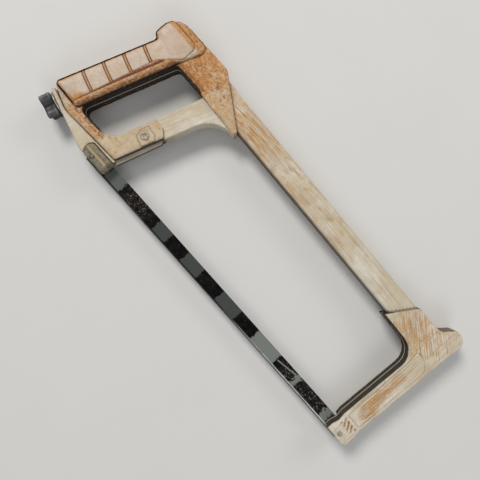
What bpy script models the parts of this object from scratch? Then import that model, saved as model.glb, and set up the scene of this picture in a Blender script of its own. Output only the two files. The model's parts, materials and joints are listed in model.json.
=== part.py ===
"""High-tension hacksaw with a cast D handle, a rectangular steel tube and a cast front bow.

The saw lies on its left side. X runs along the blade towards the front bow, Y from the
blade up to the tube, and Z out of the right side, away from the surface it lies on.
Outlines are in millimetres in the saw's own plane: x and y are counted from the centre of
the rear blade pin and z from the mid-plane. The empty "hacksaw" carries every piece and is
moved at the end so that the object's origin is the middle of its box's underside.

A 12 inch blade hangs on two pins. The rear pin sits in a block on the tension lever, which
pivots on a rivet through the lower strut. A knob on a stud out of the grip's butt pushes the
lever's forked end up, which swings the rear pin back and pulls the blade tight.
"""

import math

import bmesh
import bpy
from mathutils import Matrix, Vector

MM = 0.001

# Fits
GAP = 0.3                  # between touching pieces
HOLE_GROWTH = 0.3          # added to a shaft's radius for its hole

# Blade, a standard 12 inch one
PIN_SPACING = 300.0
BLADE_HEIGHT = 12.7
BLADE_THICKNESS = 0.65
BLADE_OVERHANG = 6.0       # past each pin
BLADE_Z = -3.0             # middle of its thickness
PIN_RADIUS = 1.8
PIN_TIP_Z = -8.0
SEAT_Z = -2.4              # the faces that the blade lies against

# Tube
TUBE_HEIGHT = 21.8
TUBE_WIDTH = 14.0
TUBE_WALL = 1.5
TUBE_CORNER = 4.0
TUBE_REAR_X = 8.0
TUBE_FRONT_X = 281.0
TUBE_MID = (100.0, 109.9)  # a point on its centre line
TUBE_SLOPE_DEG = -2.08     # it comes closer to the blade towards the front

# Half thicknesses, counted from the mid-plane
CORE_HALF = 8.3
COVER_HALF = 10.8
PIVOT_PAD_HALF = 11.3
GRIP_HALF = 15.0
BOW_HALF = 9.0
LEVER_HALF = 8.0
ARM_HALF = 3.0
BLOCK_HALF = 9.0

# Tension mechanism
PIVOT = (16.6, 43.0)
KNOB_CENTRE = (-55.5, 2.0)
STUD_LEAN = (0.27, 0.963)  # the way the stud points into the grip
STUD_RADIUS = 3.0
STUD_LOW = -4.0            # distances along the stud from the knob's centre
STUD_HIGH = 42.0
NUT_AT = 34.0
BARREL_NUT_RADIUS = 6.0
KNOB_HALF = 5.0
KNOB_RADIUS = 13.0
KNOB_VALLEY = 7.6
KNOB_LOBES = 4
KNOB_TURN_DEG = 35.0       # where the first lobe stands from +Z
INSERT_RADIUS = 5.5
WASHER_LOW = 5.3
WASHER_THICKNESS = 1.2
WASHER_RADIUS = 10.0
LEVER_SWING_DEG = 4.0
FORK_HALF_WIDTH = 4.2
FORK_REAR = 7.9            # room behind the stud for the fork as the lever swings

# Pins and screws
RIVET_RADIUS = 2.5
BUSH_RADIUS = 4.0
SCREW_RADIUS = 1.8
SCREW_HEAD_RADIUS = 3.25
SCREW_HEAD_HEIGHT = 2.4
SCREW_SINK = 0.5
SCREW_TIP_Z = 11.5
ROLL_PIN_RADIUS = 2.0
GRUB_RADIUS = 2.5

# Outlines: corners are (x, y, rounding radius), counter-clockwise seen from the right side
HANDLE_OUTER = [
    (-64.4, 17.6, 3.0), (-43.0, 9.4, 20.0), (14.6, 11.8, 2.4), (42.2, 97.2, 0.0),
    (71.4, 95.3, 2.6), (20.6, 128.1, 6.0), (-40.1, 127.8, 16.0), (-39.9, 104.0, 4.5),
    (-35.0, 101.5, 2.5),
]
HAND_HOLE = [(-36.0, 18.3, 4.5), (-0.5, 18.5, 18.0), (24.8, 100.2, 5.0), (-8.7, 100.2, 4.0)]
STRUT_WINDOW = [
    (0.0, 58.1, 0.0), (21.3, 58.1, 0.0), (28.1, 53.1, 0.0), (36.0, 47.0, 0.0),
    (80.0, 47.0, 0.0), (80.0, 94.7, 0.0), (18.0, 98.9, 0.0),
]
CORE_OUTER = [
    (-61.0, 19.0, 2.0), (-43.0, 11.7, 20.0), (12.4, 14.0, 1.0), (24.9, 52.6, 1.5),
    (28.9, 52.9, 0.0), (43.3, 96.2, 25.0), (66.0, 95.9, 1.0), (20.6, 125.5, 5.0),
    (-37.8, 125.4, 14.0), (-37.6, 106.0, 3.0), (-32.5, 102.9, 3.0),
]
CORE_HOLE = [(-38.3, 16.3, 4.0), (-1.2, 16.3, 18.0), (25.5, 102.4, 5.0), (-10.3, 102.4, 3.0)]
GRIP_BULGE = [
    (-63.8, 17.9, 3.0), (-36.5, 17.0, 5.0), (-8.6, 101.0, 0.0), (1.6, 127.3, 6.0),
    (-39.7, 127.4, 15.6), (-39.5, 104.2, 4.5), (-34.5, 101.6, 2.5),
]
GRIP_PAD = [(-80.0, 13.0, 0.0), (-43.2, 13.0, 0.0), (-21.5, 90.0, 10.0), (-8.0, 106.5, 3.0),
            (-7.6, 121.4, 5.0), (-80.0, 121.4, 0.0)]
PIVOT_PAD = [(12.3, 37.4, 1.0), (21.3, 34.8, 1.0), (25.0, 46.5, 1.0), (21.5, 49.3, 3.0),
             (12.4, 50.2, 3.0), (10.6, 43.4, 1.0)]
LEVER_BAR = [
    (-63.8, 11.4, 0.8), (-13.0, -3.4, 4.0), (-7.5, -3.6, 0.0), (-10.1, 0.2, 0.0),
    (-10.2, 5.0, 0.0), (-7.8, 9.0, 0.0), (15.3, 8.9, 0.0), (15.7, 11.3, 0.4),
    (-43.0, 8.8, 15.0), (-62.8, 14.8, 0.8),
]
LEVER_ARM = [(3.4, 9.5, 0.0), (17.0, 9.5, 0.0), (29.4, 49.8, 2.5), (22.5, 53.0, 4.0),
             (12.5, 52.0, 5.0), (9.4, 43.0, 10.0)]
LEVER_SLOT = [(2.6, 4.0, 0.0), (34.0, 4.0, 0.0), (34.0, 54.6, 0.0), (11.8, 54.2, 0.0),
              (8.3, 43.0, 0.0)]
BLADE_ROOM = [(-12.0, -12.0, 0.0), (0.0, -12.0, 0.0), (0.0, 8.2, 0.0), (-12.0, 8.2, 2.0)]
REAR_BLOCK = [(-7.0, -3.6, 0.0), (15.4, -3.6, 1.0), (15.4, 8.6, 1.0), (-7.5, 8.6, 0.0),
              (-9.8, 4.9, 0.0), (-9.8, 0.3, 0.0)]
FRONT_BOW = [
    (288.7, -4.5, 1.5), (309.9, -4.6, 4.0), (310.3, 7.5, 2.0), (309.1, 12.8, 2.0),
    (312.9, 112.0, 40.0), (313.4, 126.2, 8.0), (300.9, 126.2, 5.0), (292.2, 115.4, 4.0),
    (267.3, 116.0, 0.0), (251.0, 90.9, 0.0), (291.9, 88.9, 15.0), (289.2, 13.0, 0.0),
    (290.3, 7.2, 0.0), (288.8, 1.5, 0.0),
]
BOW_PAD = [(293.3, 15.1, 1.0), (306.3, 15.1, 1.0), (308.7, 90.0, 11.0), (292.6, 90.6, 1.5),
           (294.0, 78.0, 12.0)]
BOW_RECESS = [(295.1, 6.3, 1.0), (305.6, 5.6, 1.0), (307.2, 11.3, 0.5), (293.6, 11.7, 0.5)]
COVER_SCREWS = [(-30.5, 114.5), (-13.0, 114.5), (-30.0, 78.0), (-54.8, 27.5)]
ROLL_PIN_AT = (30.0, 112.5)
GRUB_SCREW_X = 262.0


# Scene and materials -------------------------------------------------------------------

def clear_scene():
    for obj in list(bpy.data.objects):
        bpy.data.objects.remove(obj, do_unlink=True)


def collection(name):
    made = bpy.data.collections.new(name)
    bpy.context.scene.collection.children.link(made)
    return made


def material(name, colour, roughness, metallic):
    made = bpy.data.materials.new(name)
    made.use_nodes = True
    shader = made.node_tree.nodes["Principled BSDF"]
    shader.inputs["Base Color"].default_value = (*colour, 1.0)
    shader.inputs["Roughness"].default_value = roughness
    shader.inputs["Metallic"].default_value = metallic
    return made


clear_scene()
PARTS = collection("Hacksaw")
CUTTERS = collection("Hacksaw cutters")
ROOT = bpy.data.objects.new("hacksaw", None)
PARTS.objects.link(ROOT)

CREAM = ((0.50, 0.42, 0.28), 0.55, 0.0)
RUSTY = ((0.42, 0.22, 0.11), 0.7, 0.0)
PINK = ((0.56, 0.46, 0.38), 0.6, 0.0)
STEEL = ((0.35, 0.35, 0.33), 0.4, 1.0)
DULL_METAL = ((0.20, 0.17, 0.12), 0.5, 0.8)
BLADE_PAINT = ((0.06, 0.065, 0.063), 0.45, 0.3)
BLACK_PLASTIC = ((0.03, 0.03, 0.03), 0.5, 0.0)
BRASS = ((0.5, 0.36, 0.14), 0.4, 1.0)


# Outline geometry ----------------------------------------------------------------------

def rounded(corners, step_deg=18.0):
    """The outline through the corners, with each rounded corner as an arc."""
    points = []
    for i, (x, y, radius) in enumerate(corners):
        here = Vector((x, y))
        if radius == 0.0:
            points.append(here)
            continue
        before = (Vector(corners[i - 1][:2]) - here).normalized()
        after = (Vector(corners[(i + 1) % len(corners)][:2]) - here).normalized()
        half = before.angle(after) / 2
        centre = here + (before + after).normalized() * (radius / math.sin(half))
        start = here + before * (radius / math.tan(half)) - centre
        end = here + after * (radius / math.tan(half)) - centre
        turn = start.angle_signed(end)
        steps = max(1, math.ceil(abs(turn) / math.radians(step_deg)))
        for k in range(steps + 1):
            points.append(centre + Matrix.Rotation(-turn * k / steps, 2) @ start)
    return points


def grown(points, distance):
    """A counter-clockwise outline moved outwards by distance, with mitred corners."""
    moved = []
    for i, here in enumerate(points):
        to_here = (here - points[i - 1]).normalized()
        onward = (points[(i + 1) % len(points)] - here).normalized()
        side_a = Vector((to_here.y, -to_here.x))
        side_b = Vector((onward.y, -onward.x))
        middle = (side_a + side_b).normalized()
        moved.append(here + middle * (distance / middle.dot(side_a)))
    return moved


def circle(centre, radius, count=16):
    x, y = centre
    angles = [2 * math.pi * k / count for k in range(count)]
    return [Vector((x + radius * math.cos(a), y + radius * math.sin(a))) for a in angles]


def lobed(inner, outer, lobes, per_lobe=8):
    """A knob's outline: broad round lobes with narrower valleys between them."""
    points = []
    for k in range(lobes * per_lobe):
        angle = 2 * math.pi * k / (lobes * per_lobe)
        lobe = (0.5 + 0.5 * math.cos(lobes * angle)) ** 0.55
        radius = inner + (outer - inner) * lobe
        points.append(Vector((radius * math.cos(angle), radius * math.sin(angle))))
    return points


# Frames: matrices from an outline's own plane to the saw ---------------------------------

def flat(z=0.0):
    """Outline x, y are the saw's, at height z."""
    return Matrix.Translation((0.0, 0.0, z))


def along_stud(distance):
    """The outline's normal runs down the stud, out of the grip; its x axis is +Z."""
    lean = Vector((*STUD_LEAN, 0.0)).normalized()
    normal = -lean
    first = Vector((0.0, 0.0, 1.0))
    second = normal.cross(first)
    turn = Matrix((first, second, normal)).transposed().to_4x4()
    centre = Vector((*KNOB_CENTRE, 0.0)) + lean * distance
    return Matrix.Translation(centre) @ turn


def along_tube(x):
    """The outline's normal runs along the tube, its x axis up the tube's height."""
    slope = Matrix.Rotation(math.radians(TUBE_SLOPE_DEG), 4, "Z")
    y = TUBE_MID[1] + (x - TUBE_MID[0]) * math.tan(math.radians(TUBE_SLOPE_DEG))
    turn = Matrix(((0, 0, 1), (1, 0, 0), (0, 1, 0))).to_4x4()
    return Matrix.Translation((x, y, 0.0)) @ slope @ turn


# Solids --------------------------------------------------------------------------------

def mesh_of_outline(name, outlines, half):
    """A closed mesh in metres of the outlines, filled and extruded by half to each side."""
    curve = bpy.data.curves.new(name, "CURVE")
    curve.dimensions = "2D"
    curve.fill_mode = "BOTH"
    curve.extrude = half * MM
    for points in outlines:
        spline = curve.splines.new("POLY")
        spline.points.add(len(points) - 1)
        spline.use_cyclic_u = True
        for target, point in zip(spline.points, points):
            target.co = (point.x * MM, point.y * MM, 0.0, 1.0)
    guide = bpy.data.objects.new(name + " guide", curve)
    CUTTERS.objects.link(guide)
    graph = bpy.context.evaluated_depsgraph_get()
    mesh = bpy.data.meshes.new_from_object(guide.evaluated_get(graph))
    bpy.data.objects.remove(guide, do_unlink=True)
    bpy.data.curves.remove(curve)
    shape = bmesh.new()
    shape.from_mesh(mesh)
    bmesh.ops.remove_doubles(shape, verts=shape.verts, dist=1e-6)
    bmesh.ops.dissolve_limit(shape, angle_limit=1e-3, verts=shape.verts, edges=shape.edges)
    bmesh.ops.recalc_face_normals(shape, faces=shape.faces)
    shape.to_mesh(mesh)
    shape.free()
    mesh.name = name
    return mesh


def solid(name, outlines, low, high, frame=None, group=None):
    """An object of the outlines, between low and high along their normal."""
    frame = frame or flat()
    mesh = mesh_of_outline(name, outlines, (high - low) / 2)
    lift = Matrix.Translation((0.0, 0.0, (high + low) / 2))
    mesh.transform(scaled(frame @ lift))
    obj = bpy.data.objects.new(name, mesh)
    obj.parent = ROOT
    (group or PARTS).objects.link(obj)
    return obj


def scaled(frame):
    """A frame in millimetres as one in metres."""
    moved = frame.copy()
    moved.translation = frame.translation * MM
    return moved


def cutter(name, outlines, low, high, frame=None):
    made = solid(name, outlines, low, high, frame, CUTTERS)
    made.hide_render = True
    made.display_type = "WIRE"
    return made


def helper_copy(obj, name):
    """A hidden copy of an object, modifiers and all, for Booleans."""
    made = obj.copy()
    made.name = name
    made.hide_render = True
    made.display_type = "WIRE"
    CUTTERS.objects.link(made)
    return made


def boolean(obj, other, operation):
    modifier = obj.modifiers.new(f"{operation.lower()} {other.name}"[:60], "BOOLEAN")
    modifier.operation = operation
    modifier.solver = "EXACT"
    modifier.object = other


def cut(obj, *others):
    for other in others:
        boolean(obj, other, "DIFFERENCE")


def join(obj, *others):
    for other in others:
        boolean(obj, other, "UNION")


def round_edges(obj, width, segments=2):
    modifier = obj.modifiers.new("rounded edges", "BEVEL")
    modifier.width = width * MM
    modifier.segments = segments
    modifier.limit_method = "ANGLE"
    modifier.angle_limit = math.radians(50)
    modifier.use_clamp_overlap = False


def finish(obj, look, origin=None):
    """Gives the piece its material and, for a moving piece, an origin on its joint's axis."""
    obj.data.materials.clear()
    obj.data.materials.append(material(obj.name, *look))
    if origin is not None:
        place = Vector(origin) * MM
        obj.data.transform(Matrix.Translation(-place))
        obj.location = place
    return obj


def axis_hole(name, centre, radius, low=-40.0, high=40.0):
    return cutter(name, [circle(centre, radius + HOLE_GROWTH)], low, high)


# Handle --------------------------------------------------------------------------------

def tube_outline(grow=0.0):
    half_h = TUBE_HEIGHT / 2 + grow
    half_w = TUBE_WIDTH / 2 + grow
    radius = TUBE_CORNER + grow
    corners = [(-half_h, -half_w), (half_h, -half_w), (half_h, half_w), (-half_h, half_w)]
    return rounded([(x, y, radius) for x, y in corners], 30.0)


def tube_cutter(name, rear_x, front_x):
    return cutter(name, [tube_outline(GAP)], 0.0, front_x - rear_x, along_tube(rear_x))


def shared_cutters():
    return {
        "tube": tube_cutter("tube_space", TUBE_REAR_X - GAP, 150.0),
        "slot": cutter("lever_slot", [rounded(LEVER_SLOT)], -ARM_HALF - 0.4, ARM_HALF + 0.4),
        "stud": cutter("stud_bore", [circle((0, 0), STUD_RADIUS + HOLE_GROWTH, 20)],
                       0.0, 45.0, along_stud(STUD_HIGH + 1.0)),
        "rivet": axis_hole("rivet_hole", PIVOT, RIVET_RADIUS),
        "roll_pin": axis_hole("roll_pin_hole", ROLL_PIN_AT, ROLL_PIN_RADIUS, -8.6, 8.6),
        "grub": cutter("grub_hole", [circle((0, 0), GRUB_RADIUS + HOLE_GROWTH)], -6.0, 14.0,
                       grub_frame()),
    }


def barrel_nut_at():
    return tuple(knob + lean * NUT_AT for knob, lean in zip(KNOB_CENTRE, STUD_LEAN))


def handle_core(shared):
    core = solid("handle_core", [rounded(CORE_OUTER)], -CORE_HALF, CORE_HALF)
    round_edges(core, 0.8, 1)
    hole = cutter("core_hole", [rounded(CORE_HOLE)], -12.0, 12.0)
    cut(core, hole, shared["tube"], shared["slot"], shared["stud"], shared["rivet"],
        shared["roll_pin"], axis_hole("nut_pocket", barrel_nut_at(), BARREL_NUT_RADIUS))
    for i, place in enumerate(COVER_SCREWS):
        cut(core, axis_hole(f"core_screw_hole_{i}", place, SCREW_RADIUS))
    return finish(core, CREAM)


def mirrored(obj, side):
    """Puts a piece or cutter that was drawn for the right side on its own side."""
    if side == "left":
        obj.data.transform(Matrix.Diagonal((1.0, 1.0, -1.0, 1.0)))
        obj.data.flip_normals()
    return obj


def handle_cover(side, shared):
    name = f"handle_cover_{side}"
    cover = mirrored(solid(name, [rounded(HANDLE_OUTER)], GAP / 2, COVER_HALF), side)
    round_edges(cover, 2.0)
    bulge = mirrored(cutter(f"bulge_{side}", [rounded(GRIP_BULGE)], 5.0, GRIP_HALF), side)
    round_edges(bulge, 2.9, 2)
    raised = mirrored(cutter(f"pivot_pad_{side}", [rounded(PIVOT_PAD)], 5.0, PIVOT_PAD_HALF), side)
    round_edges(raised, 0.4, 1)
    join(cover, bulge, raised)
    pad = helper_copy(bulge, f"pad_blank_{side}")
    pocket = mirrored(cutter(f"pad_pocket_{side}", [rounded(GRIP_PAD)], 12.6, 18.0), side)
    core_space = mirrored(
        cutter(f"core_space_{side}", [grown(rounded(CORE_OUTER), GAP)], -1.0, CORE_HALF + GAP), side)
    core_hole = cutter(f"core_space_hole_{side}", [grown(rounded(CORE_HOLE), -GAP)], -14.0, 14.0)
    cut(core_space, core_hole)
    hole = cutter(f"hand_hole_{side}", [rounded(HAND_HOLE)], -18.0, 18.0)
    window = cutter(f"strut_window_{side}", [rounded(STRUT_WINDOW)], -18.0, 18.0)
    cut(cover, pocket, core_space, hole, window, shared["tube"], shared["slot"],
        shared["stud"], shared["rivet"])
    for i, place in enumerate(COVER_SCREWS):
        cut(cover, screw_space(i, place, side))
    finish(cover, RUSTY)
    return cover, pad


def grip_pad(side, blank):
    """The soft pad on the rear of the grip, the top skin of the bulge itself."""
    name = f"grip_pad_{side}"
    region = grown(rounded(GRIP_PAD), -GAP)
    pad = mirrored(solid(name, [region], 12.6 + GAP, 18.0), side)
    boolean(pad, blank, "INTERSECT")
    if side == "left":
        for i, place in enumerate(COVER_SCREWS):
            cut(pad, axis_hole(f"pad_screw_hole_{i}", place, SCREW_HEAD_RADIUS, -20.0, -5.0))
    return finish(pad, PINK)


# Cover screws --------------------------------------------------------------------------

def screw_span():
    """The heights of the head's outside, the head's inside and the tip."""
    outside = -GRIP_HALF + SCREW_SINK
    return outside, outside + SCREW_HEAD_HEIGHT, SCREW_TIP_Z


def screw_space(index, place, side):
    outside, inside, tip = screw_span()
    if side == "right":
        return axis_hole(f"screw_hole_right_{index}", place, SCREW_RADIUS, -1.0, tip + 0.2)
    space = axis_hole(f"screw_hole_left_{index}", place, SCREW_HEAD_RADIUS, -20.0, inside + GAP)
    join(space, axis_hole(f"screw_shank_left_{index}", place, SCREW_RADIUS, inside, 1.0))
    return space


def cover_screw(index, place):
    outside, inside, tip = screw_span()
    screw = solid(f"cover_screw_{index + 1}", [circle(place, SCREW_HEAD_RADIUS)], outside, inside)
    round_edges(screw, 0.5, 2)
    shank = cutter(f"screw_shank_{index}", [circle(place, SCREW_RADIUS, 16)], inside - 0.5, tip)
    drive = cutter(f"screw_drive_{index}", [circle(place, 1.5, 6)], outside - 1.0, outside + 1.4)
    join(screw, shank)
    cut(screw, drive)
    return finish(screw, STEEL)


# Tube and front bow ----------------------------------------------------------------------

def frame_tube(shared):
    length = TUBE_FRONT_X - TUBE_REAR_X
    tube = solid("frame_tube", [tube_outline(), tube_outline(-TUBE_WALL)], 0.0, length,
                 along_tube(TUBE_REAR_X))
    cut(tube, shared["roll_pin"], shared["grub"])
    return finish(tube, CREAM)


def grub_frame():
    """The outline's normal runs up into the tube's underside."""
    turn = Matrix(((1, 0, 0), (0, 0, 1), (0, -1, 0))).to_4x4()
    return Matrix.Translation((GRUB_SCREW_X, 90.0, 0.0)) @ turn


def grub_screw():
    screw = solid("bow_grub_screw", [circle((0, 0), GRUB_RADIUS, 16)], 1.2, 7.0, grub_frame())
    drive = cutter("grub_drive", [circle((0, 0), 1.25, 6)], -1.0, 3.5, grub_frame())
    cut(screw, drive)
    return finish(screw, STEEL)


def roll_pin():
    """A slotted spring pin across the tube's rear end."""
    pin = solid("tube_roll_pin", [circle(ROLL_PIN_AT, ROLL_PIN_RADIUS)], -8.2, 8.2)
    bore = cutter("roll_pin_bore", [circle(ROLL_PIN_AT, 1.2, 16)], -12.0, 12.0)
    x, y = ROLL_PIN_AT
    slit_corners = [(x - 0.25, y, 0.0), (x + 0.25, y, 0.0), (x + 0.25, y + 4.0, 0.0),
                    (x - 0.25, y + 4.0, 0.0)]
    slit = cutter("roll_pin_slit", [rounded(slit_corners)], -12.0, 12.0)
    cut(pin, bore, slit)
    return finish(pin, STEEL)


def front_bow(shared):
    bow = solid("front_bow", [rounded(FRONT_BOW)], -BOW_HALF, BOW_HALF)
    round_edges(bow, 1.2, 2)
    socket = tube_cutter("bow_socket", 200.0, TUBE_FRONT_X + 0.5)
    left_foot = [(270.0, -20.0, 0.0), (330.0, -20.0, 0.0), (330.0, 7.8, 0.0), (270.0, 7.8, 0.0)]
    blade_seat = cutter("blade_seat", [rounded(left_foot)], -20.0, SEAT_Z)
    recess = cutter("foot_recess", [rounded(BOW_RECESS)], BOW_HALF - 0.9, 20.0)
    pin_hole = axis_hole("front_pin_hole", (PIN_SPACING, 0.0), PIN_RADIUS)
    cut(bow, socket, blade_seat, recess, pin_hole, shared["grub"])
    for side in ("right", "left"):
        pocket = cutter(f"bow_pad_pocket_{side}", [grown(rounded(BOW_PAD), GAP)],
                        BOW_HALF - 1.3, 20.0)
        cut(bow, mirrored(pocket, side))
    return finish(bow, CREAM)


def bow_pad(side):
    pad = solid(f"bow_pad_{side}", [rounded(BOW_PAD)], BOW_HALF - 1.0, BOW_HALF + 0.4)
    round_edges(pad, 0.5, 2)
    return finish(mirrored(pad, side), CREAM)


# Tension mechanism ------------------------------------------------------------------------

def tension_lever(shared):
    lever = solid("tension_lever", [rounded(LEVER_BAR)], -LEVER_HALF, LEVER_HALF)
    round_edges(lever, 0.7, 1)
    arm = cutter("lever_arm", [rounded(LEVER_ARM)], -ARM_HALF, ARM_HALF)
    join(lever, arm)
    half, rear = FORK_HALF_WIDTH, FORK_REAR
    corners = [(-half, -40.0, 0.0), (half, -40.0, 0.0), (half, rear, 4.1), (-half, rear, 4.1)]
    fork = cutter("fork_slot", [rounded(corners)], -25.0, 25.0, along_stud(8.0))
    blade_room = cutter("blade_room", [rounded(BLADE_ROOM)], -20.0, SEAT_Z)
    bush_hole = axis_hole("bush_hole", PIVOT, BUSH_RADIUS)
    cut(lever, fork, blade_room, bush_hole)
    return finish(lever, CREAM, (*PIVOT, 0.0))


def pivot_bush():
    rings = [circle(PIVOT, BUSH_RADIUS), circle(PIVOT, RIVET_RADIUS + HOLE_GROWTH)]
    return finish(solid("pivot_bush", rings, -ARM_HALF, ARM_HALF), BRASS, (*PIVOT, 0.0))


def pivot_rivet():
    """A hollow-headed rivet through both covers, with its tail set over a washer."""
    top = PIVOT_PAD_HALF + GAP
    rivet = solid("pivot_rivet", [circle(PIVOT, 3.5)], top, top + 0.9)
    round_edges(rivet, 0.3, 2)
    shank = cutter("rivet_shank", [circle(PIVOT, RIVET_RADIUS)], -top - 2.0, top + 0.5)
    tail = cutter("rivet_tail", [circle(PIVOT, 3.5)], -top - 2.2, -top - 1.2)
    dimple = cutter("rivet_dimple", [circle(PIVOT, 1.7, 16)], top - 0.6, top + 5.0)
    join(rivet, shank, tail)
    cut(rivet, dimple)
    return finish(rivet, DULL_METAL)


def pivot_washer():
    top = -PIVOT_PAD_HALF - GAP
    rings = [circle(PIVOT, 4.8), circle(PIVOT, RIVET_RADIUS + HOLE_GROWTH)]
    return finish(solid("pivot_washer", rings, top - 0.6, top), STEEL)


def rear_block():
    block = solid("rear_blade_block", [rounded(REAR_BLOCK)], SEAT_Z, BLOCK_HALF)
    round_edges(block, 0.8, 1)
    cut(block, axis_hole("rear_pin_hole", (0.0, 0.0), PIN_RADIUS))
    return finish(block, DULL_METAL, (*PIVOT, 0.0))


def blade_pin(name, x, top, origin=None):
    pin = solid(name, [circle((x, 0.0), PIN_RADIUS, 20)], PIN_TIP_Z, top)
    round_edges(pin, 0.4, 1)
    return finish(pin, STEEL, origin)


def stud_and_nut():
    stud = solid("tension_stud", [circle((0, 0), STUD_RADIUS, 20)], 0.0,
                 STUD_HIGH - STUD_LOW, along_stud(STUD_HIGH))
    round_edges(stud, 0.6, 1)
    finish(stud, STEEL)
    nut = solid("stud_barrel_nut", [circle(barrel_nut_at(), BARREL_NUT_RADIUS)], -7.5, 7.5)
    round_edges(nut, 0.6, 1)
    bore = cutter("nut_bore", [circle((0, 0), STUD_RADIUS + HOLE_GROWTH, 20)], 0.0, 30.0,
                  along_stud(NUT_AT + 15.0))
    cut(nut, bore)
    finish(nut, STEEL)


def knob_and_washer():
    centre = (*KNOB_CENTRE, 0.0)
    bore = STUD_RADIUS + HOLE_GROWTH
    turn = Matrix.Rotation(math.radians(-KNOB_TURN_DEG), 4, "Z")
    outline = lobed(KNOB_VALLEY, KNOB_RADIUS, KNOB_LOBES)
    knob = solid("tension_knob", [outline], -KNOB_HALF, KNOB_HALF, along_stud(0.0) @ turn)
    round_edges(knob, 1.2, 2)
    through = cutter("knob_bore", [circle((0, 0), bore, 20)], -20.0, 20.0, along_stud(0.0))
    pocket = cutter("insert_pocket", [circle((0, 0), INSERT_RADIUS + GAP)], -20.0, 0.3,
                    along_stud(0.0))
    cut(knob, through, pocket)
    finish(knob, BLACK_PLASTIC, centre)
    rings = [circle((0, 0), INSERT_RADIUS, 6), circle((0, 0), bore, 20)]
    finish(solid("knob_insert", rings, -KNOB_HALF + 0.2, 0.0, along_stud(0.0)), BRASS, centre)
    rings = [circle((0, 0), WASHER_RADIUS), circle((0, 0), bore, 20)]
    washer = solid("thrust_washer", rings, 0.0, WASHER_THICKNESS,
                   along_stud(WASHER_LOW + WASHER_THICKNESS))
    finish(washer, STEEL, centre)


# Blade -------------------------------------------------------------------------------------

def rear_slot():
    """The rear pin's hole, drawn out along the path of the pin as the lever swings."""
    swing = math.radians(LEVER_SWING_DEG)
    end = Vector((PIVOT[1] * swing, -PIVOT[0] * swing))
    radius = PIN_RADIUS + HOLE_GROWTH
    start_angle = math.atan2(end.y, end.x) + math.pi / 2
    points = []
    for centre, turn in ((Vector((0.0, 0.0)), 0.0), (end, math.pi)):
        for k in range(9):
            angle = start_angle + turn + math.pi * k / 8
            points.append(centre + radius * Vector((math.cos(angle), math.sin(angle))))
    return points


def blade():
    low = -BLADE_OVERHANG
    high = PIN_SPACING + BLADE_OVERHANG
    half = BLADE_HEIGHT / 2
    corners = [(low, -half, 1.0), (high, -half, 1.0), (high, half, 3.0), (low, half, 3.0)]
    front_hole = circle((PIN_SPACING, 0.0), PIN_RADIUS + HOLE_GROWTH, 20)
    made = solid("blade", [rounded(corners), rear_slot(), front_hole],
                 BLADE_Z - BLADE_THICKNESS / 2, BLADE_Z + BLADE_THICKNESS / 2)
    return finish(made, BLADE_PAINT, (PIN_SPACING, 0.0, BLADE_Z))


# Assembly ----------------------------------------------------------------------------------

def stand_on_base():
    """Moves the whole saw so that the origin is the middle of its box's underside."""
    bpy.context.view_layer.update()
    graph = bpy.context.evaluated_depsgraph_get()
    corners = []
    for obj in PARTS.objects:
        if obj.type == "MESH":
            made = obj.evaluated_get(graph)
            corners += [made.matrix_world @ vertex.co for vertex in made.data.vertices]
    low = Vector([min(corner[i] for corner in corners) for i in range(3)])
    high = Vector([max(corner[i] for corner in corners) for i in range(3)])
    ROOT.location = -Vector(((low.x + high.x) / 2, (low.y + high.y) / 2, low.z))


def main():
    shared = shared_cutters()
    handle_core(shared)
    for side in ("right", "left"):
        pad_blank = handle_cover(side, shared)[1]
        grip_pad(side, pad_blank)
        bow_pad(side)
    for index, place in enumerate(COVER_SCREWS):
        cover_screw(index, place)
    frame_tube(shared)
    roll_pin()
    front_bow(shared)
    grub_screw()
    blade_pin("front_blade_pin", PIN_SPACING, BOW_HALF + 0.2)
    tension_lever(shared)
    rear_block()
    blade_pin("rear_blade_pin", 0.0, BLOCK_HALF + 0.2, (*PIVOT, 0.0))
    pivot_bush()
    pivot_rivet()
    pivot_washer()
    stud_and_nut()
    knob_and_washer()
    blade()
    stand_on_base()
    for obj in PARTS.objects:
        if obj.type == "MESH":
            obj.data.shade_smooth()
            obj.data.set_sharp_from_angle(angle=math.radians(35))


main()
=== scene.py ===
"""Looks of the high-tension hacksaw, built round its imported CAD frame."""

from functools import reduce
import json
import math

import bpy
import numpy as np
from mathutils import Matrix, Vector


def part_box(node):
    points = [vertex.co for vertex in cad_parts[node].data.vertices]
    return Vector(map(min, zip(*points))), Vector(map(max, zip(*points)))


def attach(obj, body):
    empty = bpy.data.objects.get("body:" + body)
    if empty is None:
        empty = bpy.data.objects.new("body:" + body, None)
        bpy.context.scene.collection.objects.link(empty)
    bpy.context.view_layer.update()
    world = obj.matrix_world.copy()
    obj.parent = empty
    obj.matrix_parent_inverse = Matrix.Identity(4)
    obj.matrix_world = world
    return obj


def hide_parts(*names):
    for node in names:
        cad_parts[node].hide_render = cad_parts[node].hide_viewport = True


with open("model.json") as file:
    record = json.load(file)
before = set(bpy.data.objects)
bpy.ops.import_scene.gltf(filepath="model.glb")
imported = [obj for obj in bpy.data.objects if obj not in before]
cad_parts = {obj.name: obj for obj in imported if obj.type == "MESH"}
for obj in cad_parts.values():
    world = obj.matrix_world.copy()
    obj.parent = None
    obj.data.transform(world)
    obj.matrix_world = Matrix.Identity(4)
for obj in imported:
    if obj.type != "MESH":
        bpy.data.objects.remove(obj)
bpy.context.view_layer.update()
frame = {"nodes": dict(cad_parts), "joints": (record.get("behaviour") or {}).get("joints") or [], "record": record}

MM = 0.001
NODES = frame["nodes"]
BODY_OF = {node: body for body, nodes in frame["record"]["behaviour"]["bodies"].items()
           for node in nodes}


def middle(node):
    low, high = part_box(node)
    return (low + high) / 2


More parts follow.
